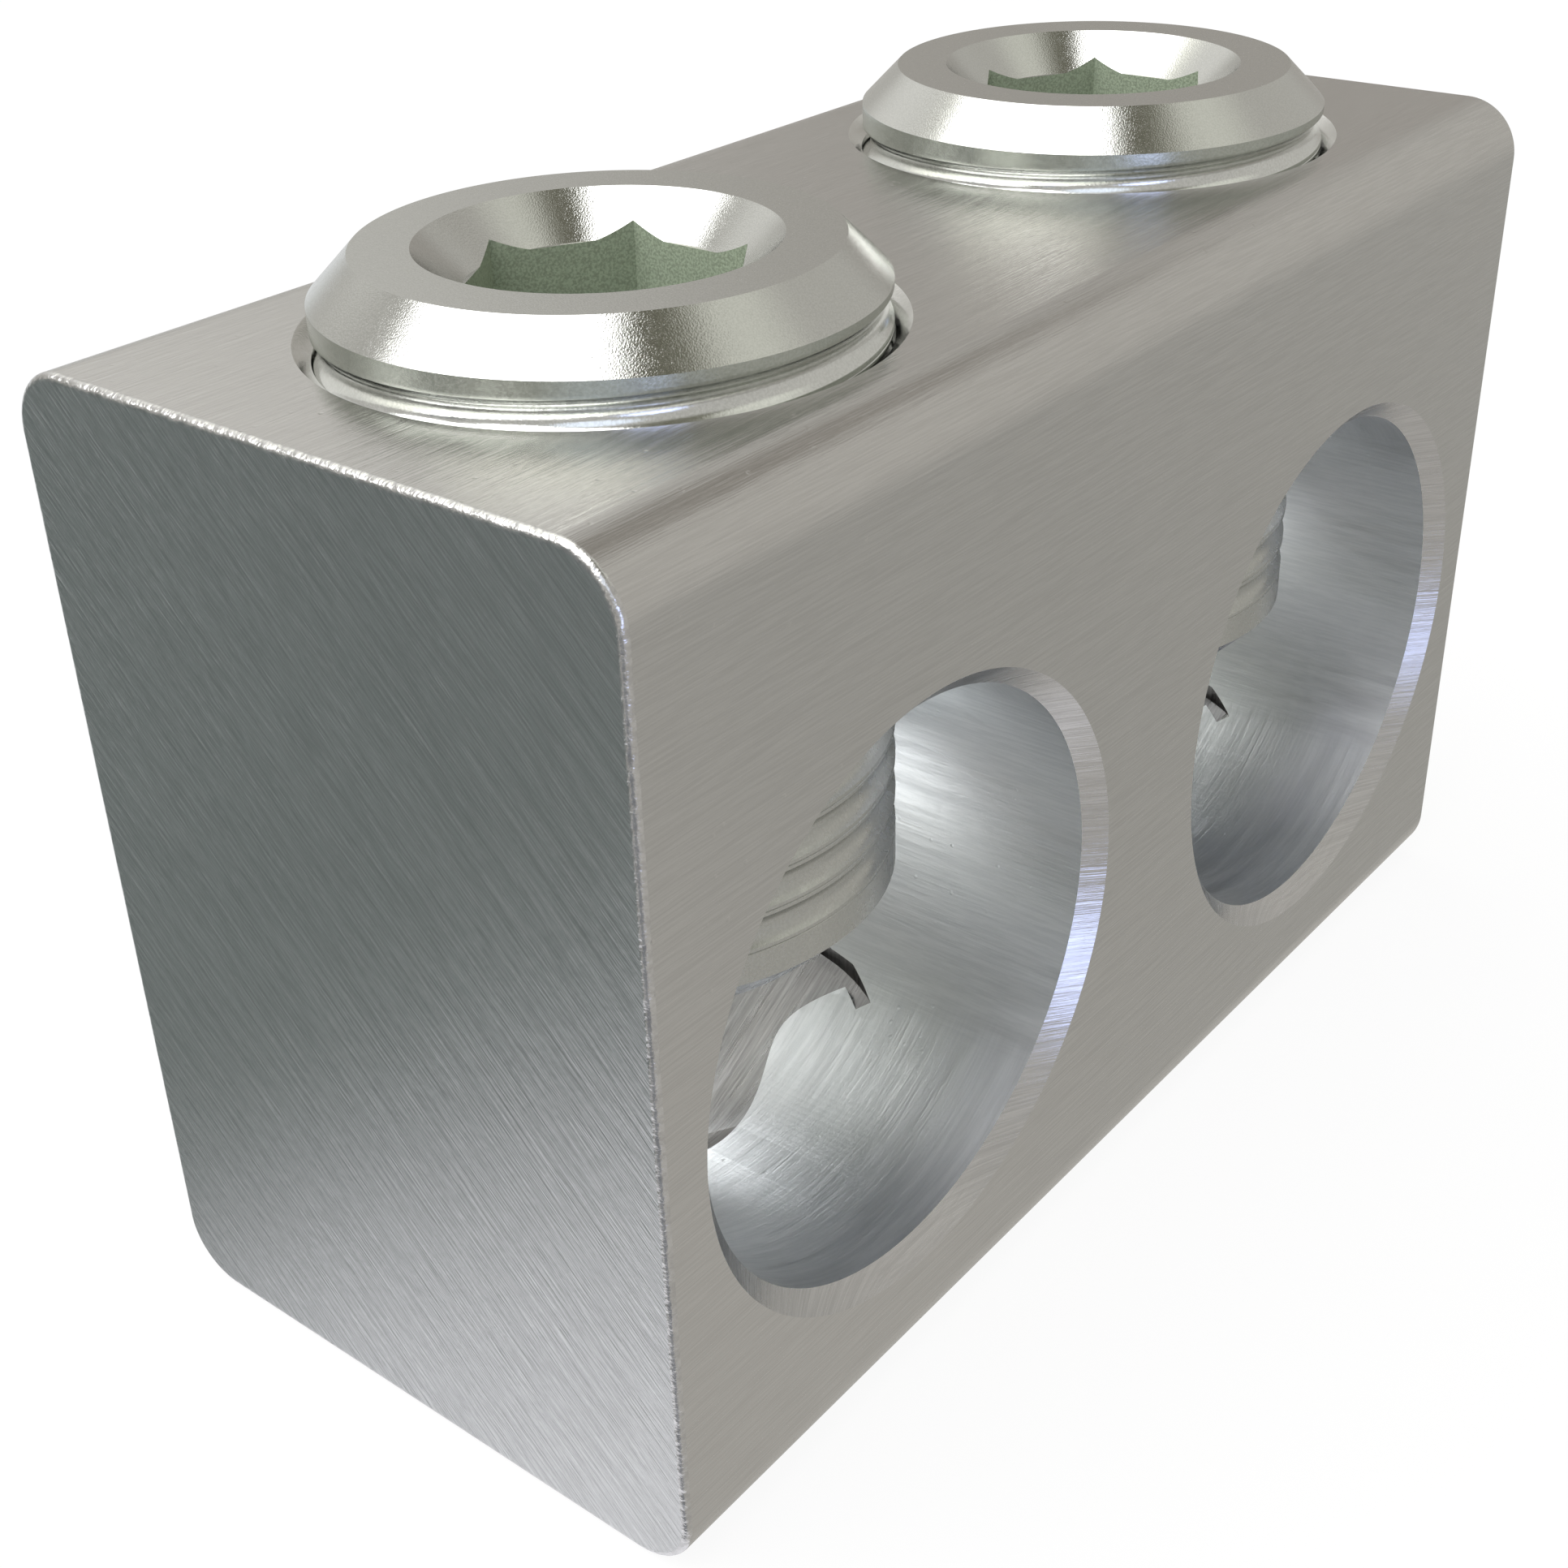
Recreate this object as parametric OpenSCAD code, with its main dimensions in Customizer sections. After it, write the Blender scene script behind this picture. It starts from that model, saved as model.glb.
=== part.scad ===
// A two-port cable tap: one metal block with two round conductor bores from face to face,
// and over each bore a hex-socket clamp screw in a tapped hole.
// The origin is at the middle of the flat bottom. +X runs along the row of ports,
// -Y is the front face with the bore mouths, and +Z is up. All sizes are in millimetres.

/* [Block] */
// Metal left between each bore and the nearer end of the block
end_wall = 3; // [1.5:0.1:12]
// Depth from the front face to the back face
block_width = 28.6; // [28:0.1:50]
// Height without the screws
block_height = 41.3; // [37:0.1:60]
// Radius of the four long edges
corner_radius = 2.6; // [1:0.1:4]

/* [Conductor bores] */
// Diameter of each bore
bore_diameter = 24; // [22:0.1:28]
// Distance between the two bore axes
bore_spacing = 32.6; // [30:0.1:35]
// Height of the bore axes above the bottom
bore_height = 17.8; // [15:0.1:24]
// Width of the 45 degree bevel at each bore mouth
bore_bevel = 0.8; // [0.2:0.1:1.5]

/* [Clamp screws] */
// Outer diameter over the thread crests
screw_diameter = 20.64; // [19:0.02:21.5]
// Length from flat end to flat end
screw_length = 27; // [23:0.1:33]
// Width of the 45 degree bevel at both ends
screw_bevel = 1.6; // [0.5:0.1:2]
// How far the screws stand out of the block
screw_stand_out = 3; // [0:0.5:18]

/* [Hex sockets] */
// Size of the hex key across its flats
key_size = 9.52; // [7:0.02:10.5]
// Slack between the key and the socket, across the flats
key_slack = 0.05; // [0.02:0.01:0.2]
// How much wider the round pilot is than the hex is across its flats
pilot_excess = 0.33; // [0.1:0.01:0.6]
// Width of the 45 degree lead-in around the socket
socket_bevel = 1.6; // [0.8:0.1:2]
// Depth of the socket's flats below the screw's top
socket_depth = 13; // [6:0.5:17]

/* [Tapped holes] */
// Gap between the thread crests and the wall of the hole
thread_gap = 0.05; // [0.02:0.01:0.1]
// Depth of the thread, which makes the drilled hole narrower than the screw
thread_depth = 0.795; // [0.5:0.005:1.2]
// Metal left under the tip of the drilled hole
floor_under_drill = 3.6; // [2:0.1:5]
// Point angle of the drill
drill_point = 118; // [90:1:140]
// Width of the 45 degree bevel at the mouth of each hole
mouth_bevel = 0.6; // [0.2:0.1:1.2]

/* [Hidden] */
$fn = 96;
// How far each cutting shape runs past the face that it cuts
overrun = 1;
block_length = bore_spacing + bore_diameter + 2 * end_wall;
hole_radius = screw_diameter / 2 + thread_gap;
drill_radius = screw_diameter / 2 - thread_depth;
// Rise of a drill's cone for each millimetre of radius
drill_slope = 1 / tan(drill_point / 2);
screw_bottom = block_height + screw_stand_out - screw_length;
socket_width = key_size + key_slack;
pilot_radius = (socket_width + pilot_excess) / 2;
// Turn that sets two of the hex's flats square to the row of ports
hex_turn = 30;

// A rectangle with rounded corners, centred across and standing on the X axis
module rounded_outline(width, height, radius) {
    translate([-width / 2 + radius, 0]) square([width - 2 * radius, height]);
    translate([-width / 2, radius]) square([width, height - 2 * radius]);
    for (x = [radius - width / 2, width / 2 - radius], y = [radius, height - radius])
        translate([x, y]) circle(r = radius);
}

// The plain block, extruded along the row of ports
module blank() {
    rotate([90, 0, 90])
        linear_extrude(block_length, center = true)
            rounded_outline(block_width, block_height, corner_radius);
}

// Cutter for one conductor bore, with a bevel at the front and the back mouth
module bore_cutter() {
    radius = bore_diameter / 2;
    half = block_width / 2;
    bevel_start = half - bore_bevel;
    outer = radius + bore_bevel + overrun;
    translate([0, 0, bore_height]) rotate([90, 0, 0]) rotate_extrude()
        polygon([[0, -half - overrun], [outer, -half - overrun], [radius, -bevel_start],
                 [radius, bevel_start], [outer, half + overrun], [0, half + overrun]]);
}

// Cutter for one tapped hole: its mouth, the threaded stretch down into the bore,
// and the narrower drilled hole that ends in a cone below the bore
module screw_hole_cutter() {
    cone_top = floor_under_drill + drill_radius * drill_slope;
    mouth_radius = hole_radius + mouth_bevel + overrun;
    rotate_extrude()
        polygon([[0, floor_under_drill], [drill_radius, cone_top], [drill_radius, bore_height],
                 [hole_radius, bore_height], [hole_radius, block_height - mouth_bevel],
                 [mouth_radius, block_height + overrun], [0, block_height + overrun]]);
}

// Hex socket seen from its rim at z = 0: a lead-in cone, the hex and a drilled end
module socket_cutter() {
    rim_radius = pilot_radius + socket_bevel;
    cone_height = socket_bevel + overrun;
    translate([0, 0, -socket_bevel])
        cylinder(h = cone_height, r1 = pilot_radius, r2 = rim_radius + overrun);
    translate([0, 0, -socket_depth]) rotate([0, 0, hex_turn])
        cylinder(h = socket_depth, r = socket_width / 2 / cos(30), $fn = 6);
    drilled_end = socket_width / 2 * drill_slope;
    translate([0, 0, -socket_depth - drilled_end])
        cylinder(h = drilled_end, r1 = 0, r2 = socket_width / 2);
}

// One clamp screw, with its axis on Z and its lower end at z = 0
module clamp_screw() {
    radius = screw_diameter / 2;
    end_radius = radius - screw_bevel;
    difference() {
        rotate_extrude()
            polygon([[0, 0], [end_radius, 0], [radius, screw_bevel],
                     [radius, screw_length - screw_bevel], [end_radius, screw_length],
                     [0, screw_length]]);
        translate([0, 0, screw_length]) socket_cutter();
    }
}

// Places its children over the left port (side = -1) or the right port (side = 1)
module at_port(side) {
    translate([side * bore_spacing / 2, 0, 0]) children();
}

// The tapped and bored block
module connector_body() {
    color([0.66, 0.66, 0.64]) difference() {
        blank();
        for (side = [-1, 1]) at_port(side) {
            bore_cutter();
            screw_hole_cutter();
        }
    }
}

// The clamp screw over one port, as far in as the object is shown
module placed_screw(side) {
    color([0.60, 0.60, 0.57]) at_port(side) translate([0, 0, screw_bottom]) clamp_screw();
}

module clamp_screw_left() {
    placed_screw(-1);
}

module clamp_screw_right() {
    placed_screw(1);
}

connector_body();
clamp_screw_left();
clamp_screw_right();
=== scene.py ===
"""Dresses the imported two-port cable tap: its block, its threaded clamp screws, and a plain pale studio.

Sizes are in millimetres until a mesh is made, and every mesh is in metres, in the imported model's frame.
"""
import math

import bpy
import numpy as np
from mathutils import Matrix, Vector


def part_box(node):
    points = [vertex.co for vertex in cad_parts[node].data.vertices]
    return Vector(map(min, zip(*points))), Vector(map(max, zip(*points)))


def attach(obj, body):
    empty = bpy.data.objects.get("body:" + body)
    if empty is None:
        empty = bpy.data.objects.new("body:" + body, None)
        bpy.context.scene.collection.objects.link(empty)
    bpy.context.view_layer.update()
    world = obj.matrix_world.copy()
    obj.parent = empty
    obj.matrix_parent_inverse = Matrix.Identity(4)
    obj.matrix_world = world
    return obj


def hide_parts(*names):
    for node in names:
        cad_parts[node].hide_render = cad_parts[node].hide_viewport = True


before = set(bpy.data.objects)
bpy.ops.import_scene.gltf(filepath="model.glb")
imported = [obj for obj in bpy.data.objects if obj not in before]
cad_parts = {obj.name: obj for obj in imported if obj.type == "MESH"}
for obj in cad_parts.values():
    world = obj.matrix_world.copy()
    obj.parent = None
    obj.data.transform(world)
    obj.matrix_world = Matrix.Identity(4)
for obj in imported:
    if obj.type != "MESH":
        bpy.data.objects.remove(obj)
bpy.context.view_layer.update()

MM = 0.001

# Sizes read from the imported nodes
BLOCK_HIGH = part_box("connector_body")[1] / MM
SCREW_LOW, SCREW_HIGH = (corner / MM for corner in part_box("clamp_screw_right"))
BLOCK_TOP = BLOCK_HIGH.z
HALF_LENGTH = BLOCK_HIGH.x
HALF_WIDTH = BLOCK_HIGH.y
PORT_X = (SCREW_LOW.x + SCREW_HIGH.x) / 2
SCREW_RADIUS = (SCREW_HIGH.y - SCREW_LOW.y) / 2
SCREW_TOP = SCREW_HIGH.z
SCREW_BOTTOM = SCREW_LOW.z

# Block
CORNER_RADIUS = 2.6
END_EDGE_RADIUS = 0.28
BORE_RADIUS = 12.0
BORE_HEIGHT = 17.8
BORE_BEVEL = 0.8
THREAD_GAP = 0.05
HOLE_RADIUS = SCREW_RADIUS + THREAD_GAP
MOUTH_BEVEL = 0.6
DRILL_RADIUS = 9.525
DRILL_TIP = 3.6
DRILL_POINT = math.radians(118)
DRILL_SLOPE = 1 / math.tan(DRILL_POINT / 2)

# Clamp screws
PITCH = 1.5875
THREAD_DEPTH = 0.36
CREST_WIDTH = 0.36
CREST_ROUND_OFF = 0.03
SEAM_DEPTH = 0.05
SEAM_WIDTH = 0.07
# The tap's flat crest, and the inner radius of the thread in the block
TAP_CREST_WIDTH = PITCH / 8
TAPPED_RADIUS = 10.01
SCREW_BEVEL = 1.6
SOCKET_FLATS = 9.57
PILOT_RADIUS = 4.95
SOCKET_BEVEL = 1.6
SOCKET_DEPTH = 13.0

# The thread. A crest passes through this height at this turn about the screw's axis, and places
# along the thread are counted in turns from there.
CREST_HEIGHT = 22.05
CREST_TURN = math.radians(-46)
FLANK_SLOPE = math.tan(math.radians(30))
GROOVE_FIRST_TURN = -1.9
GROOVE_LAST_TURN = 12.0
GROOVE_FADE = 0.12
# The tap's last turns, which only mark the sides of the bore
LAST_TURNS = (-8.12, -6.65)
LAST_TURNS_RADIUS = 9.8
LAST_TURNS_DEPTH = 0.62

# Facets round each turned surface, and the turn between two of them that shows as an edge
TURNED_SEGMENTS = 256
THREAD_SEGMENTS = 144
SHARP_EDGE = math.radians(30)


def mesh_object(name, points, faces):
    """A mesh object from points in millimetres."""
    mesh = bpy.data.meshes.new(name)
    mesh.from_pydata([tuple(np.asarray(p) * MM) for p in points], [], faces)
    mesh.validate()
    thing = bpy.data.objects.new(name, mesh)
    bpy.context.scene.collection.objects.link(thing)
    return thing


def turned(name, outline, centre, axis="Z"):
    """A closed solid of revolution, from (radius, height) pairs that run from end to end of its axis."""
    segments = TURNED_SEGMENTS
    turn = np.linspace(0, 2 * math.pi, segments, endpoint=False)
    points, faces = [], []
    rings = outline[1:-1]
    for radius, height in rings:
        for a in turn:
            points.append((radius * math.cos(a), radius * math.sin(a), height))
    for row in range(len(rings) - 1):
        for i in range(segments):
            j = (i + 1) % segments
            low, high = row * segments, (row + 1) * segments
            faces.append((low + i, low + j, high + j, high + i))
    first, last = len(points), len(points) + 1
    points += [(0, 0, outline[0][1]), (0, 0, outline[-1][1])]
    top = (len(rings) - 1) * segments
    for i in range(segments):
        j = (i + 1) % segments
        faces.append((first, j, i))
        faces.append((last, top + i, top + j))
    points = np.array(points)
    if axis == "Y":
        points = points[:, [0, 2, 1]] * (1, -1, 1)
    return mesh_object(name, points + np.array(centre), faces)


def tap_outline(crest_radius, depth):
    """One turn of the tap's 60 degree thread, from crest to crest, as (height, radius) pairs."""
    root_radius = crest_radius - depth
    flank = depth * FLANK_SLOPE
    round_off = CREST_ROUND_OFF
    half = TAP_CREST_WIDTH / 2
    up = [
        (0, crest_radius),
        (half - round_off, crest_radius),
        (half, crest_radius - 0.2 * round_off),
        (half + 0.5 * round_off, crest_radius - 0.9 * round_off),
        (half + flank - 0.5 * round_off, root_radius + 0.9 * round_off),
        (half + flank, root_radius + 0.2 * round_off),
        (half + flank + round_off, root_radius),
    ]
    down = [(PITCH - height, radius) for height, radius in reversed(up[1:])]
    return up + down


def screw_outline(crest_radius):
    """One turn of the screw's rolled thread, as tap_outline gives it: a round root and a seamed crest."""
    half = CREST_WIDTH / 2
    middle = PITCH / 2
    # The root is one arc from crest to crest
    span = middle - half
    root = (span * span + THREAD_DEPTH * THREAD_DEPTH) / (2 * THREAD_DEPTH)
    sweep = math.asin(span / root)
    centre = crest_radius - THREAD_DEPTH + root
    steps = 7
    round_off = CREST_ROUND_OFF
    up = [
        (0, crest_radius - SEAM_DEPTH),
        (SEAM_WIDTH / 2, crest_radius),
        (half - round_off, crest_radius),
        (half - 0.3 * round_off, crest_radius - 0.15 * round_off),
        (half + 0.2 * round_off, crest_radius - 0.7 * round_off),
    ]
    for step in range(1, steps + 1):
        a = sweep * (1 - step / steps)
        up.append((middle - root * math.sin(a), centre - root * math.cos(a)))
    return up + [(PITCH - height, radius) for height, radius in reversed(up[1:-1])]


def groove_share(turns):
    """How deep the screw's groove is at a place along the thread. It fades in and out near the ends."""
    start = (turns - GROOVE_FIRST_TURN) / GROOVE_FADE
    end = (GROOVE_LAST_TURN + GROOVE_FADE - turns) / GROOVE_FADE
    share = min(1, max(0, min(start, end)))
    return share * share * (3 - 2 * share)


def threaded_rod(name, crest_radius, outline, bottom, top, centre_x, share_at=None):
    """A closed rod with a right-handed thread, whose rows of points follow the helix."""
    per_turn = len(outline)
    first = math.floor((bottom - CREST_HEIGHT) / PITCH) - 1
    last = math.ceil((top - CREST_HEIGHT) / PITCH) + 1
    levels = [(k, height, radius) for k in range(first, last) for height, radius in outline]
    rows = len(levels)
    points = []
    for i in range(THREAD_SEGMENTS):
        share = i / THREAD_SEGMENTS
        turn = CREST_TURN + 2 * math.pi * share
        for k, height, radius in levels:
            z = CREST_HEIGHT + (k + share) * PITCH + height
            deep = 1 if share_at is None else share_at(k + share)
            r = crest_radius - (crest_radius - radius) * deep
            points.append((centre_x + r * math.cos(turn), r * math.sin(turn), z))

    def index(column, row):
        """The point at a row, where the last column joins the first one a turn higher."""
        if column == THREAD_SEGMENTS:
            return row + per_turn
        return column * rows + row

    faces = []
    for i in range(THREAD_SEGMENTS):
        wraps = i == THREAD_SEGMENTS - 1
        for row in range(rows - 1 - (per_turn if wraps else 0)):
            faces.append((index(i, row), index(i + 1, row), index(i + 1, row + 1), index(i, row + 1)))
    low_loop = [index(i, 0) for i in range(THREAD_SEGMENTS)]
    low_loop += [per_turn - k for k in range(per_turn)]
    end = THREAD_SEGMENTS * rows - 1
    high_loop = [index(i, rows - 1) for i in range(THREAD_SEGMENTS)]
    high_loop += [end - k for k in range(1, per_turn + 1)]
    low_centre, high_centre = len(points), len(points) + 1
    points.append((centre_x, 0, CREST_HEIGHT + (first - 1) * PITCH))
    points.append((centre_x, 0, CREST_HEIGHT + (last + 2) * PITCH))
    for k, a in enumerate(low_loop):
        faces.append((low_centre, low_loop[(k + 1) % len(low_loop)], a))
    for k, a in enumerate(high_loop):
        faces.append((high_centre, a, high_loop[(k + 1) % len(high_loop)]))
    return mesh_object(name, points, faces)


def last_turns(name, centre_x):
    """The tap's last turns: a ribbon along the helix that cuts short grooves into the bore's sides."""
    half = TAP_CREST_WIDTH / 2 + (HOLE_RADIUS - LAST_TURNS_RADIUS) * FLANK_SLOPE
    base = half + LAST_TURNS_DEPTH * FLANK_SLOPE
    inner = LAST_TURNS_RADIUS - LAST_TURNS_DEPTH
    section = [(inner, -base), (LAST_TURNS_RADIUS, -half), (LAST_TURNS_RADIUS, half), (inner, base)]
    start, end = LAST_TURNS
    steps = round((end - start) * THREAD_SEGMENTS)
    points, faces = [], []
    for i in range(steps + 1):
        turns = start + (end - start) * i / steps
        a = CREST_TURN + 2 * math.pi * turns
        for radius, height in section:
            z = CREST_HEIGHT + turns * PITCH + height
            points.append((centre_x + radius * math.cos(a), radius * math.sin(a), z))
    count = len(section)
    for i in range(steps):
        for k in range(count):
            j = (k + 1) % count
            faces.append((i * count + k, (i + 1) * count + k, (i + 1) * count + j, i * count + j))
    faces.append(tuple(range(count)))
    faces.append(tuple(steps * count + k for k in reversed(range(count))))
    return mesh_object(name, points, faces)


def combine(target, tool, operation):
    """Applies a boolean to target, and deletes the tool."""
    step = target.modifiers.new("cut", "BOOLEAN")
    step.operation = operation
    step.solver = "MANIFOLD"
    step.object = tool
    bpy.context.view_layer.update()
    done = bpy.data.meshes.new_from_object(target.evaluated_get(bpy.context.evaluated_depsgraph_get()))
    target.modifiers.clear()
    old = target.data
    target.data = done
    bpy.data.meshes.remove(old)
    done.name = target.name
    tool_mesh = tool.data
    bpy.data.objects.remove(tool)
    bpy.data.meshes.remove(tool_mesh)


def smooth(thing):
    """Smooth shading, with sharp edges kept crisp and flat faces kept flat."""
    thing.data.shade_smooth()
    thing.data.set_sharp_from_angle(angle=SHARP_EDGE)
    weigh = thing.modifiers.new("weigh", "WEIGHTED_NORMAL")
    weigh.keep_sharp = True
    weigh.weight = 100


def rounded_blank(name):
    """The plain block, with rounded long edges and a small radius round both end faces."""
    arc_steps, edge_steps = 20, 5
    side, bottom, top = HALF_WIDTH - CORNER_RADIUS, CORNER_RADIUS, BLOCK_TOP - CORNER_RADIUS
    corner_centres = [(side, top), (-side, top), (-side, bottom), (side, bottom)]

    def section(inset):
        """The block's outline in YZ, drawn in by inset."""
        radius = CORNER_RADIUS - inset
        loop = []
        for corner, (y, z) in enumerate(corner_centres):
            for step in range(arc_steps + 1):
                a = math.pi / 2 * (corner + step / arc_steps)
                loop.append((y + radius * math.cos(a), z + radius * math.sin(a)))
        return loop

    stations = []
    for step in range(edge_steps + 1):
        a = math.pi / 2 * step / edge_steps
        x = HALF_LENGTH - END_EDGE_RADIUS * (1 - math.sin(a))
        stations.append((x, END_EDGE_RADIUS * (1 - math.cos(a))))
    rings = [(-x, inset) for x, inset in reversed(stations)] + stations
    points, faces = [], []
    for x, inset in rings:
        points += [(x, y, z) for y, z in section(inset)]
    count = 4 * (arc_steps + 1)
    for ring in range(len(rings) - 1):
        for i in range(count):
            j = (i + 1) % count
            low, high = ring * count, (ring + 1) * count
            faces.append((low + i, low + j, high + j, high + i))
    faces.append(tuple(reversed(range(count))))
    faces.append(tuple((len(rings) - 1) * count + i for i in range(count)))
    return mesh_object(name, points, faces)


def make_block():
    """The block with its bores, its drilled and tapped holes and their bevels."""
    block = rounded_blank("tap_block")
    past = 1.0
    mouth_depth = 5.0
    cone_top = DRILL_TIP + DRILL_RADIUS * DRILL_SLOPE
    bore_flare = BORE_RADIUS + BORE_BEVEL + past
    mouth_flare = HOLE_RADIUS + MOUTH_BEVEL + past
    bore = [(0, -HALF_WIDTH - past), (bore_flare, -HALF_WIDTH - past),
            (BORE_RADIUS, BORE_BEVEL - HALF_WIDTH), (BORE_RADIUS, HALF_WIDTH - BORE_BEVEL),
            (bore_flare, HALF_WIDTH + past), (0, HALF_WIDTH + past)]
    drill = [(0, DRILL_TIP), (DRILL_RADIUS, cone_top), (DRILL_RADIUS, BORE_HEIGHT), (0, BORE_HEIGHT)]
    mouth = [(0, BLOCK_TOP - mouth_depth), (HOLE_RADIUS, BLOCK_TOP - mouth_depth),
             (HOLE_RADIUS, BLOCK_TOP - MOUTH_BEVEL),
             (mouth_flare, BLOCK_TOP + past), (0, BLOCK_TOP + past)]
    for side in (-1, 1):
        x = side * PORT_X
        combine(block, turned("bore", bore, (x, 0, BORE_HEIGHT), "Y"), "DIFFERENCE")
        combine(block, turned("drill", drill, (x, 0, 0)), "DIFFERENCE")
        combine(block, last_turns("last_turns", x), "DIFFERENCE")
        outline = tap_outline(HOLE_RADIUS, HOLE_RADIUS - TAPPED_RADIUS)
        tap = threaded_rod("tapping", HOLE_RADIUS, outline, BORE_HEIGHT + past, BLOCK_TOP + past, x)
        combine(block, tap, "DIFFERENCE")
        combine(block, turned("mouth", mouth, (x, 0, 0)), "DIFFERENCE")
    return block


def make_screw(name, side):
    """A clamp screw: a threaded rod with bevelled ends and a hex socket."""
    x = side * PORT_X
    past = 1.0
    outline = screw_outline(SCREW_RADIUS)
    bottom, top = SCREW_BOTTOM - past, SCREW_TOP + past
    screw = threaded_rod(name, SCREW_RADIUS, outline, bottom, top, x, groove_share)
    wide = SCREW_RADIUS + past
    narrow = SCREW_RADIUS - SCREW_BEVEL
    ends = [(0, SCREW_BOTTOM), (narrow, SCREW_BOTTOM), (wide, SCREW_BOTTOM + wide - narrow),
            (wide, SCREW_TOP - wide + narrow), (narrow, SCREW_TOP), (0, SCREW_TOP)]
    combine(screw, turned("ends", ends, (x, 0, 0)), "INTERSECT")
    cone = [(0, SCREW_TOP - SOCKET_BEVEL), (PILOT_RADIUS, SCREW_TOP - SOCKET_BEVEL),
            (PILOT_RADIUS + SOCKET_BEVEL + past, SCREW_TOP + past), (0, SCREW_TOP + past)]
    combine(screw, turned("lead_in", cone, (x, 0, 0)), "DIFFERENCE")
    combine(screw, hex_cutter(x), "DIFFERENCE")
    return screw


def hex_cutter(x):
    """The hex socket's flats and the drilled point below them."""
    past = 1.0
    corner = SOCKET_FLATS / 2 / math.cos(math.radians(30))
    flat_end = SCREW_TOP - SOCKET_DEPTH
    points, faces = [], []
    for z in (flat_end, SCREW_TOP + past):
        for k in range(6):
            a = math.radians(30 + 60 * k)
            points.append((x + corner * math.cos(a), corner * math.sin(a), z))
    tip = len(points)
    points.append((x, 0, flat_end - SOCKET_FLATS / 2 * DRILL_SLOPE))
    for k in range(6):
        j = (k + 1) % 6
        faces.append((k, j, 6 + j, 6 + k))
        faces.append((tip, j, k))
    faces.append(tuple(range(6, 12)))
    return mesh_object("hex", points, faces)


def place_camera():
    """The camera at the photo's viewing angle."""
    data = bpy.data.cameras.new("camera")
    data.lens = 49.942
    data.sensor_width = 36
    data.clip_start = 0.001
    camera = bpy.data.objects.new("camera", data)
    camera.location = Vector((-70.689, -52.304, 65.841)) * MM
    camera.rotation_euler = [math.radians(a) for a in (59.7176, 1.5329, -51.4768)]
    bpy.context.scene.collection.objects.link(camera)
    bpy.context.scene.camera = camera


def node(tree, kind, inputs=None, **settings):
    """A shader node, with named inputs set or linked."""
    made = tree.nodes.new(kind)
    for key, value in settings.items():
        setattr(made, key, value)
    for key, value in (inputs or {}).items():
        socket = made.inputs[key]
        if isinstance(value, bpy.types.NodeSocket):
            tree.links.new(value, socket)
        else:
            socket.default_value = value
    return made


def direction(azimuth, elevation):
    """A unit vector, with azimuth from +X towards +Y and elevation above the horizon, in degrees."""
    a, e = math.radians(azimuth), math.radians(elevation)
    return (math.cos(e) * math.cos(a), math.cos(e) * math.sin(a), math.sin(e))


# Studio light by direction: azimuth, elevation, inner and outer half-angle in degrees, and its colour
PATCHES = [
    (125, -28, 10, 45, (0.19, 0.215, 0.21)),
    (135, -75, 29, 39, (1.02, 1.02, 1.07)),
    (75, -22, 12, 30, (0.92, 0.95, 0.97)),
    (-160, -36, 10, 27, (0.25, 0.26, 0.28)),
    (154, -4, 9, 26, (0.25, 0.26, 0.265)),
    (-28, -17, 8, 31, (0.43, 0.425, 0.40)),
    (-35, 25, 5, 50, (0.58, 0.565, 0.53)),
    (25, 8, 4, 25, (0.42, 0.40, 0.37)),
    (7, 47, 3, 19, (0.34, 0.32, 0.29)),
    (70, 36, 5, 31, (0.93, 0.92, 0.89)),
    (77, 64, 12, 26, (1.9, 1.9, 1.75)),
    (-95, 67, 4, 26, (0.18, 0.175, 0.135)),
    (-55, 53, 5, 20, (0.78, 0.78, 0.71)),
    (-121, -2, 4, 16, (1.8, 2.05, 3.1)),
    (-144, 32, 8, 19, (1.15, 1.24, 1.40)),
    (138, 40, 14, 16.5, (4.0, 4.0, 4.0)),
    (178, 40, 12, 15, (4.0, 4.0, 4.0)),
]
# The bright window overhead and behind
WINDOW = (155, 62, 27, 31, (4.0, 4.0, 4.0))
SURROUND_LOW = (0.52, 0.505, 0.475)
SURROUND_HIGH = (0.56, 0.55, 0.52)


def light_studio():
    """Soft light all round, with brighter and darker patches, and plain white behind the object."""
    world = bpy.data.worlds.new("studio")
    world.use_nodes = True
    tree = world.node_tree
    tree.nodes.clear()
    where = node(tree, "ShaderNodeTexCoord").outputs["Generated"]
    height = node(tree, "ShaderNodeSeparateXYZ", {0: where}).outputs["Z"]
    rise = node(tree, "ShaderNodeMapRange", {"Value": height, "From Min": -1, "From Max": 1}).outputs[0]
    light = mix_colours(tree, rise, SURROUND_LOW, SURROUND_HIGH)
    for azimuth, elevation, inner, outer, colour in PATCHES + [WINDOW]:
        near = dot(tree, where, direction(azimuth, elevation))
        share = smooth_step(tree, near, math.cos(math.radians(outer)), math.cos(math.radians(inner)))
        light = mix_colours(tree, share, light, colour)
    seen = node(tree, "ShaderNodeLightPath").outputs["Is Camera Ray"]
    shown = mix_colours(tree, seen, light, (1, 1, 1))
    background = node(tree, "ShaderNodeBackground", {"Color": shown, "Strength": 1.0})
    node(tree, "ShaderNodeOutputWorld", {"Surface": background.outputs[0]})
    # The light is so soft that each surface's own reflections find it, with no map of its bright parts
    world.cycles.sampling_method = "NONE"
    bpy.context.scene.world = world


def dot(tree, vector, other):
    """The dot product of a vector socket and a fixed vector."""
    made = node(tree, "ShaderNodeVectorMath", {0: vector, 1: other}, operation="DOT_PRODUCT")
    return made.outputs["Value"]


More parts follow.
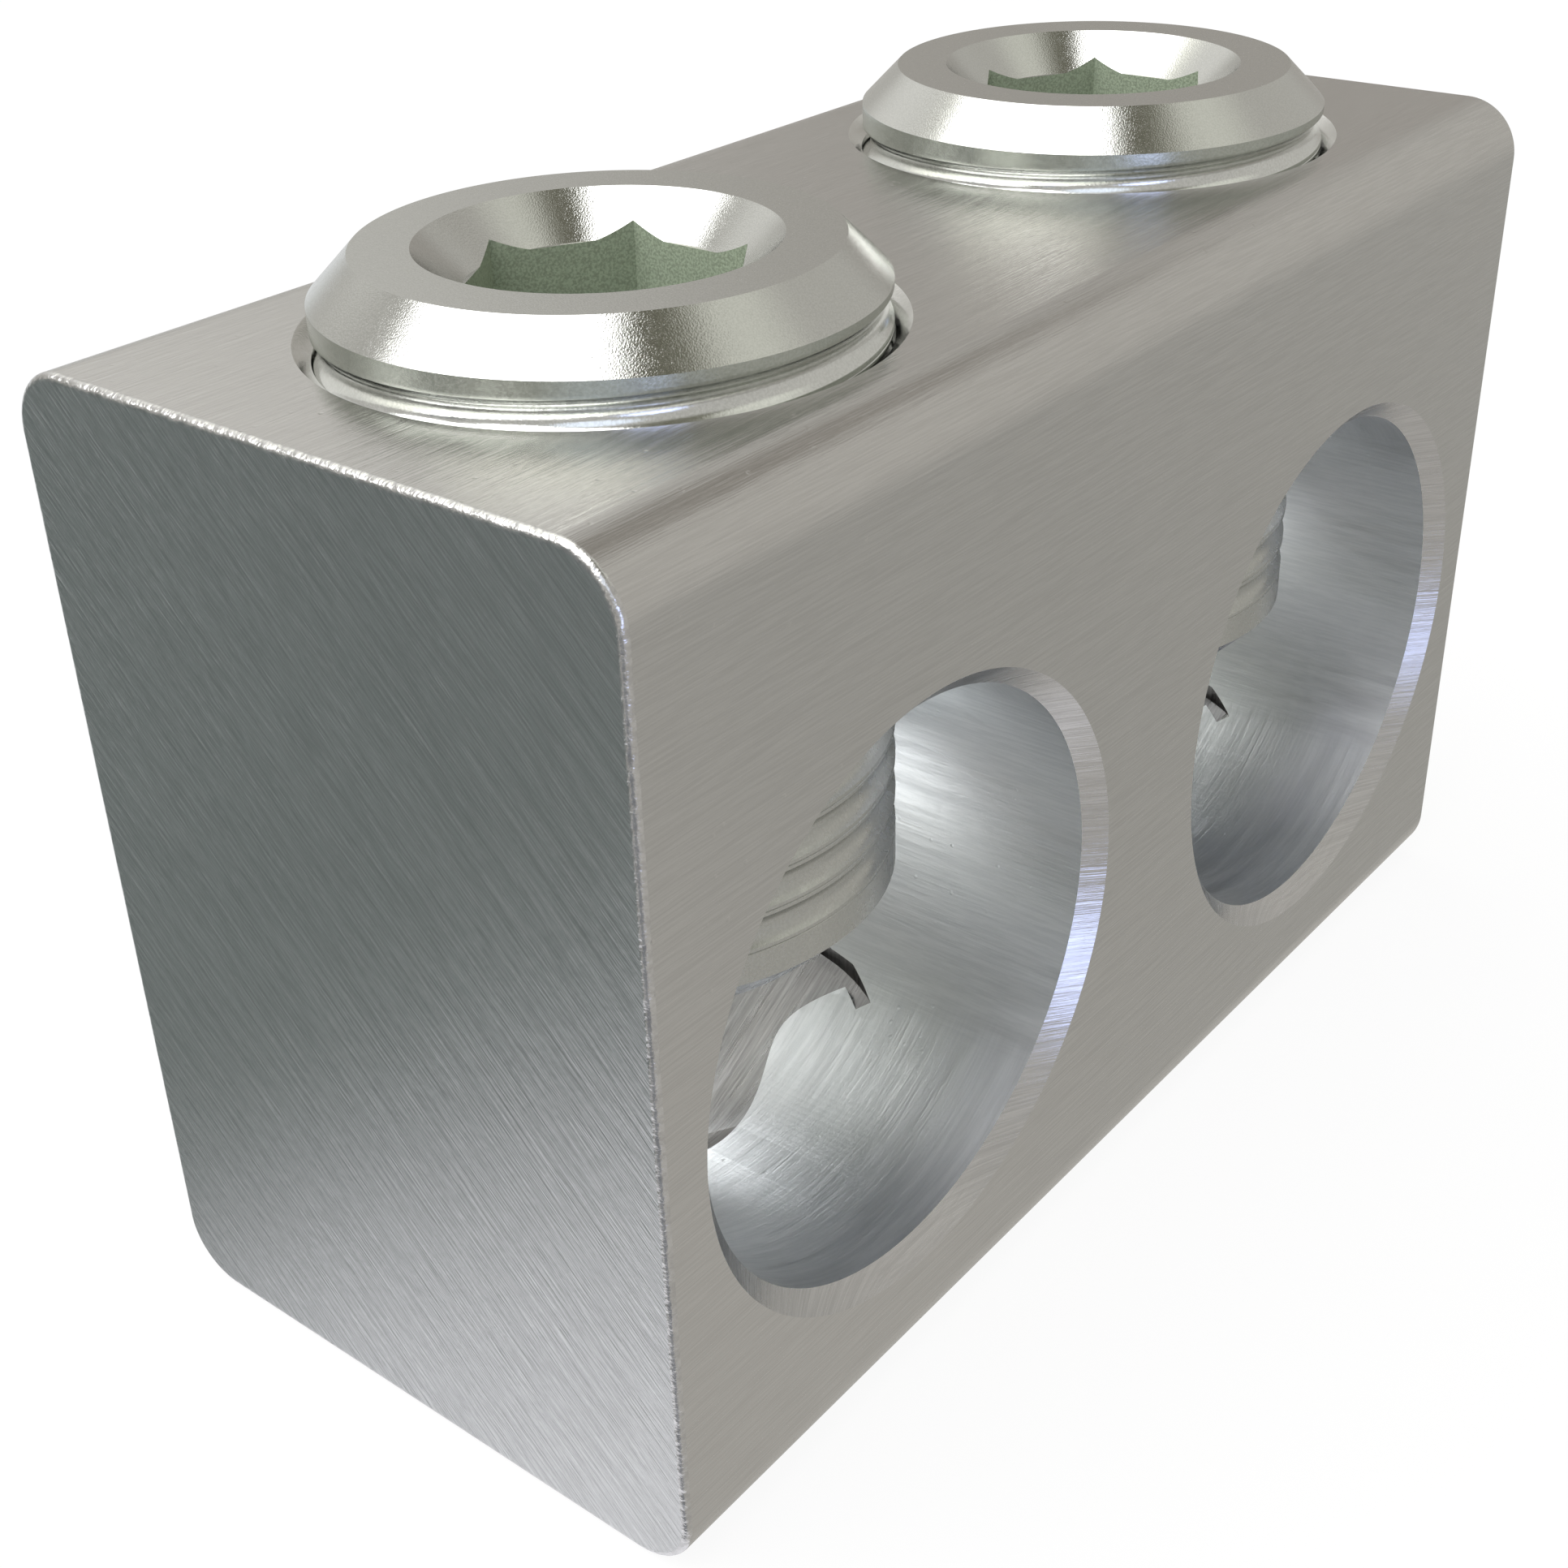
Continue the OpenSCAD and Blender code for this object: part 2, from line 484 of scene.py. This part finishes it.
def smooth_step(tree, value, low, high, low_out=0.0, high_out=1.0):
    """A smooth ramp from low_out to high_out as the value goes from low to high."""
    inputs = {"Value": value, "From Min": low, "From Max": high, "To Min": low_out, "To Max": high_out}
    return node(tree, "ShaderNodeMapRange", inputs, interpolation_type="SMOOTHSTEP").outputs[0]


def mix_colours(tree, share, first, second):
    """A colour between two, each a socket or a plain colour."""
    ends = [end if isinstance(end, bpy.types.NodeSocket) else (*end, 1) for end in (first, second)]
    return node(tree, "ShaderNodeMix", {0: share, 6: ends[0], 7: ends[1]}, data_type="RGBA").outputs[2]


def mix_values(tree, share, first, second):
    """A number between two sockets' numbers."""
    return node(tree, "ShaderNodeMix", {0: share, 2: first, 3: second}, data_type="FLOAT").outputs[0]


def maths(tree, operation, first, second=0.0):
    """The result of one arithmetic step."""
    return node(tree, "ShaderNodeMath", {0: first, 1: second}, operation=operation).outputs[0]


def lay_floor():
    """A plain pale floor, which the camera sees nearly white, with a faint shadow."""
    reach = 2000
    pale = (0.85, 0.85, 0.85, 1)
    whiteness = 0.92
    corners = [(-reach, -reach, 0), (reach, -reach, 0), (reach, reach, 0), (-reach, reach, 0)]
    floor = mesh_object("floor", corners, [(0, 1, 2, 3)])
    floor.visible_glossy = False
    material, tree, output = new_material("pale_floor")
    seen = node(tree, "ShaderNodeLightPath").outputs["Is Camera Ray"]
    dull = node(tree, "ShaderNodeBsdfDiffuse", {"Color": pale}).outputs[0]
    white = node(tree, "ShaderNodeEmission", {"Color": (1, 1, 1, 1), "Strength": 1.0}).outputs[0]
    share = maths(tree, "MULTIPLY", seen, whiteness)
    mixed = node(tree, "ShaderNodeMixShader", {0: share, 1: dull, 2: white}).outputs[0]
    tree.links.new(mixed, output)
    floor.data.materials.append(material)


def new_material(name):
    """An empty node material, its tree and the socket of its output."""
    material = bpy.data.materials.new(name)
    material.use_nodes = True
    tree = material.node_tree
    tree.nodes.clear()
    output = node(tree, "ShaderNodeOutputMaterial").inputs["Surface"]
    return material, tree, output


def millimetres(tree):
    """The place on the piece, in millimetres."""
    place = node(tree, "ShaderNodeTexCoord").outputs["Object"]
    return node(tree, "ShaderNodeVectorMath", {0: place, "Scale": 1 / MM}, operation="SCALE").outputs[0]


def noise(tree, place, size, detail, roughness):
    """Noise with lumps of one size, and finer ones on them: 0 to 1."""
    inputs = {"Vector": place, "Scale": 1 / size, "Detail": detail, "Roughness": roughness}
    return node(tree, "ShaderNodeTexNoise", inputs).outputs["Fac"]


def grain(tree, place, along, across, length, width):
    """Noise drawn out along one direction, like the lines that a brush or a belt leaves.

    across holds one or two more directions. The noise doesn't change along a direction that is left out,
    where it is taken between two planes of its grid.
    """
    between_planes = 0.37
    axes = [dot(tree, place, tuple(Vector(along).normalized() / length)), between_planes, between_planes]
    for k, side in enumerate(across):
        axes[k + 1] = dot(tree, place, tuple(Vector(side).normalized() / width))
    stretched = node(tree, "ShaderNodeCombineXYZ", dict(enumerate(axes))).outputs[0]
    return noise(tree, stretched, 1.0, detail=3.0, roughness=0.6)


def speckle(tree, place, size):
    """Even noise with lumps of one size."""
    return noise(tree, place, size, detail=2.0, roughness=0.55)


def dents(tree, place, spacing, radius, share):
    """Small shallow dents, in a share of the cells of an even spacing: 0 in a dent and 1 elsewhere."""
    inputs = {"Vector": place, "Scale": 1 / spacing, "Randomness": 1.0}
    cells = node(tree, "ShaderNodeTexVoronoi", inputs)
    chance = node(tree, "ShaderNodeSeparateColor", {0: cells.outputs["Color"]}).outputs[0]
    dented = maths(tree, "LESS_THAN", chance, share)
    rim = smooth_step(tree, cells.outputs["Distance"], 0.3 * radius / spacing, radius / spacing)
    missing = maths(tree, "MULTIPLY", dented, maths(tree, "SUBTRACT", 1.0, rim))
    return maths(tree, "SUBTRACT", 1.0, missing)


def bump(tree, height, depth, normal=None):
    """A bumped normal, where a height of 1 stands depth millimetres out."""
    inputs = {"Height": height, "Distance": depth * MM, "Strength": 1.0}
    if normal is not None:
        inputs["Normal"] = normal
    return node(tree, "ShaderNodeBump", inputs).outputs["Normal"]


def facing(tree, axis):
    """How squarely the surface faces an axis, either way: 0 to 1."""
    normal = node(tree, "ShaderNodeNewGeometry").outputs["Normal"]
    return maths(tree, "ABSOLUTE", dot(tree, normal, axis))


def metal(tree, output, colour, roughness, normal, metallic=1.0):
    """The shader of a finish, linked to its material's output."""
    inputs = {"Base Color": colour, "Metallic": metallic, "Roughness": roughness, "Normal": normal}
    shader = node(tree, "ShaderNodeBsdfPrincipled", inputs)
    tree.links.new(shader.outputs[0], output)


def brushed(name, dark, light, roughness, line, height, runs, dent=0.0):
    """A brushed tinned metal, with or without small dents.

    line is the length and the width of the brush lines, height is how far they stand out, and dent is the
    depth of the dents. runs is (direction, directions across, share) for each way of brushing, where the
    share is a function, or None for the first way.
    """
    material, tree, output = new_material(name)
    place = millimetres(tree)
    length, width = line
    fine, broad = None, None
    for along, across, share_of in runs:
        fine_here = grain(tree, place, along, across, length, width)
        broad_here = grain(tree, place, along, across, 3.5 * length, 4 * width)
        if fine is None:
            fine, broad = fine_here, broad_here
            continue
        share = share_of(tree)
        fine = mix_values(tree, share, fine, fine_here)
        broad = mix_values(tree, share, broad, broad_here)
    normal = bump(tree, fine, height)
    normal = bump(tree, broad, 1.6 * height, normal)
    if dent:
        normal = bump(tree, dents(tree, place, spacing=0.5, radius=0.11, share=0.12), dent, normal)
        normal = bump(tree, speckle(tree, place, 0.7), 0.6 * dent, normal)
    colour = mix_colours(tree, smooth_step(tree, fine, 0.3, 0.7), dark, light)
    rough = smooth_step(tree, broad, 0.3, 0.7, roughness - 0.04, roughness + 0.05)
    metal(tree, output, colour, rough, normal)
    return material


def speckled(name, dark, light, roughness, lump, height, metallic=1.0):
    """A plated metal with a fine even grain, whose lumps have one size and height."""
    material, tree, output = new_material(name)
    place = millimetres(tree)
    fine = speckle(tree, place, lump)
    broad = speckle(tree, place, 6 * lump)
    colour = mix_colours(tree, smooth_step(tree, fine, 0.35, 0.65), dark, light)
    rough = smooth_step(tree, broad, 0.3, 0.7, roughness - 0.03, roughness + 0.04)
    metal(tree, output, colour, rough, bump(tree, fine, height), metallic)
    return material


ALONG_X, ALONG_Y, ALONG_Z = (1, 0, 0), (0, 1, 0), (0, 0, 1)
# The end faces are brushed corner to corner
CORNER_TO_CORNER, OTHER_CORNERS = (0, 1, 1), (0, 1, -1)


def faces_up(tree):
    """1 where the surface faces up or down more than sideways."""
    return smooth_step(tree, facing(tree, ALONG_Z), 0.6, 0.8)


def block_materials():
    """The block's finishes, in the order that block_finish numbers them."""
    straight = [(ALONG_X, (ALONG_Y, ALONG_Z), None)]
    drilled = [(ALONG_X, (ALONG_Y,), None)]
    diagonal = [(CORNER_TO_CORNER, (OTHER_CORNERS, ALONG_X), None)]
    # The bores' side walls are brushed along the bore, and their floors and tops across it
    round_bore = [(ALONG_Y, (ALONG_Z,), None), (ALONG_X, (ALONG_Y,), faces_up)]
    sides = brushed("brushed_sides", (0.59, 0.582, 0.564), (0.65, 0.642, 0.624), roughness=0.18,
                    line=(2.4, 0.07), height=0.011, runs=straight, dent=0.008)
    ends = brushed("brushed_ends", (0.55, 0.555, 0.545), (0.67, 0.675, 0.665), roughness=0.20,
                   line=(1.8, 0.06), height=0.012, runs=diagonal, dent=0.012)
    # The bore walls are painted much lighter and bluer than the sides: painted light that stands in for
    # light reflected round the bores
    bores = brushed("bored_wall_painted_light", (0.81, 0.83, 0.84), (0.905, 0.92, 0.93), roughness=0.36,
                    line=(2.0, 0.12), height=0.009, runs=round_bore, dent=0.006)
    # The drilled holes below the bores are painted dark: painted shade in these deep recesses
    cones = brushed("drilled_wall_painted_shade", (0.30, 0.295, 0.29), (0.42, 0.415, 0.41), roughness=0.30,
                    line=(2.4, 0.14), height=0.012, runs=drilled, dent=0.004)
    bevels = brushed("bore_bevel", (0.54, 0.535, 0.53), (0.65, 0.645, 0.64), roughness=0.24,
                     line=(1.6, 0.08), height=0.014, runs=round_bore)
    edges = brushed("end_edge", (0.56, 0.555, 0.545), (0.68, 0.675, 0.665), roughness=0.22,
                    line=(0.5, 0.3), height=0.045, runs=straight, dent=0.02)
    mouths = speckled("hole_mouth", (0.80, 0.80, 0.78), (0.86, 0.86, 0.84), roughness=0.14,
                      lump=0.09, height=0.006)
    return [sides, ends, bores, cones, bevels, edges, mouths]


SIDES, ENDS, BORES, CONES, BEVELS, EDGES, MOUTHS = range(7)


def block_finish(centre, normal):
    """The finish of a face of the block, from its middle in millimetres and its normal."""
    if abs(centre.x) > HALF_LENGTH - 0.005:
        return ENDS
    if abs(centre.x) > HALF_LENGTH - END_EDGE_RADIUS:
        return EDGES
    beside = abs(centre.x) - PORT_X
    from_bore = math.hypot(beside, centre.z - BORE_HEIGHT)
    from_screw = math.hypot(beside, centre.y)
    # The middle of a flat facet lies a little off its true curve
    slack = 0.06
    faces_front = abs(normal.y) > 0.95
    in_bevel = abs(centre.y) > HALF_WIDTH - BORE_BEVEL and from_bore < BORE_RADIUS + BORE_BEVEL + slack
    if in_bevel and not faces_front and centre.z < BLOCK_TOP - CORNER_RADIUS:
        return BEVELS
    if abs(from_bore - BORE_RADIUS) < slack and abs(normal.y) < 0.1:
        return BORES
    flat_top = normal.z > 0.999
    in_hole = from_screw < HOLE_RADIUS + MOUTH_BEVEL + slack and from_bore > BORE_RADIUS
    if not in_hole or flat_top:
        return SIDES
    if centre.z > BORE_HEIGHT:
        return MOUTHS
    # Where the tap's last turns cut the wall of the bore, the flanks that face down get the bores'
    # painted light, and the other faces get the drilled walls' painted shade
    tapped = from_screw > DRILL_RADIUS + slack
    return BORES if tapped and normal.z < -0.5 else CONES


def screw_materials():
    """The screws' finishes, in the order that screw_finish numbers them."""
    outside = speckled("screw_metal", (0.585, 0.59, 0.565), (0.65, 0.655, 0.63), roughness=0.09,
                       lump=0.06, height=0.0075)
    # The socket's walls are painted dark and green: painted shade inside the socket and a painted green
    # reflection
    socket = speckled("socket_wall_painted_shade", (0.25, 0.295, 0.215), (0.37, 0.43, 0.32), roughness=0.75,
                      lump=0.10, height=0.015, metallic=0.15)
    # The thread's groove is painted lighter than the outside plating, a painted highlight; its crest is
    # painted darker and greener, painted shade with a painted green reflection
    groove = speckled("thread_groove_painted_highlight", (0.70, 0.71, 0.69), (0.76, 0.77, 0.75), roughness=0.12,
                      lump=0.10, height=0.003)
    crest = speckled("thread_crest_painted_shade", (0.45, 0.475, 0.43), (0.50, 0.525, 0.48), roughness=0.22,
                     lump=0.10, height=0.003)
    # The bevel at the lower end is painted a dark lavender: a painted reflection of the lavender light
    # from below, with painted shade
    end_bevel_painted_reflection = speckled("end_bevel_painted_reflection", (0.44, 0.44, 0.50), (0.47, 0.47, 0.53), roughness=0.25,
                         lump=0.10, height=0.003)
    # The thread inside the block is painted darker than the groove above it: painted shade inside the
    # block
    lower_groove_painted_shade = speckled("lower_groove_painted_shade", (0.51, 0.515, 0.49), (0.56, 0.565, 0.54), roughness=0.28,
                            lump=0.10, height=0.003)
    return [outside, socket, groove, crest, end_bevel_painted_reflection, lower_groove_painted_shade]


OUTSIDE, SOCKET, GROOVE, CREST, END_BEVEL, LOWER_GROOVE = range(6)


def screw_finish(centre, normal):
    """The finish of a face of a screw, from its middle in millimetres and its normal."""
    from_axis = math.hypot(abs(centre.x) - PORT_X, centre.y)
    socket_reach = PILOT_RADIUS + 0.7
    within = from_axis < socket_reach and SCREW_BOTTOM + 1 < centre.z < SCREW_TOP - 0.2
    if within:
        # The lead-in cone is plated like the outside
        upright = abs(normal.z) < 0.3
        drilled_point = centre.z < SCREW_TOP - SOCKET_DEPTH + 0.1
        return SOCKET if upright or drilled_point else OUTSIDE
    bevel_normal_z = -math.sqrt(0.5)
    # The lower end's bevel takes its painted lavender reflection
    if centre.z < SCREW_BOTTOM + SCREW_BEVEL and abs(normal.z - bevel_normal_z) < 0.05:
        return END_BEVEL
    if centre.z > SCREW_TOP - SCREW_BEVEL or centre.z < SCREW_BOTTOM + 0.1:
        return OUTSIDE
    # At rest the thread from here down is seen only through the bores, and it is painted darker as shade
    # inside the block
    if centre.z < BLOCK_TOP - 2 * PITCH:
        return LOWER_GROOVE
    # Crests take the painted shade and grooves the painted highlight
    return CREST if from_axis > SCREW_RADIUS - 0.02 else GROOVE


def dress(piece, materials, finish_of):
    """Gives each face of a piece the material that finish_of picks."""
    piece.data.materials.clear()
    for material in materials:
        piece.data.materials.append(material)
    for face in piece.data.polygons:
        face.material_index = finish_of(face.center / MM, face.normal)


place_camera()
light_studio()
lay_floor()

block = make_block()
dress(block, block_materials(), block_finish)
smooth(block)
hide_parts("connector_body")
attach(block, "connector_body")

plating = screw_materials()
for side, place in ((-1, "left"), (1, "right")):
    screw = make_screw(f"threaded_screw_{place}", side)
    dress(screw, plating, screw_finish)
    smooth(screw)
    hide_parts(f"clamp_screw_{place}")
    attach(screw, f"clamp_screw_{place}")

bpy.context.scene.view_settings.view_transform = "Standard"
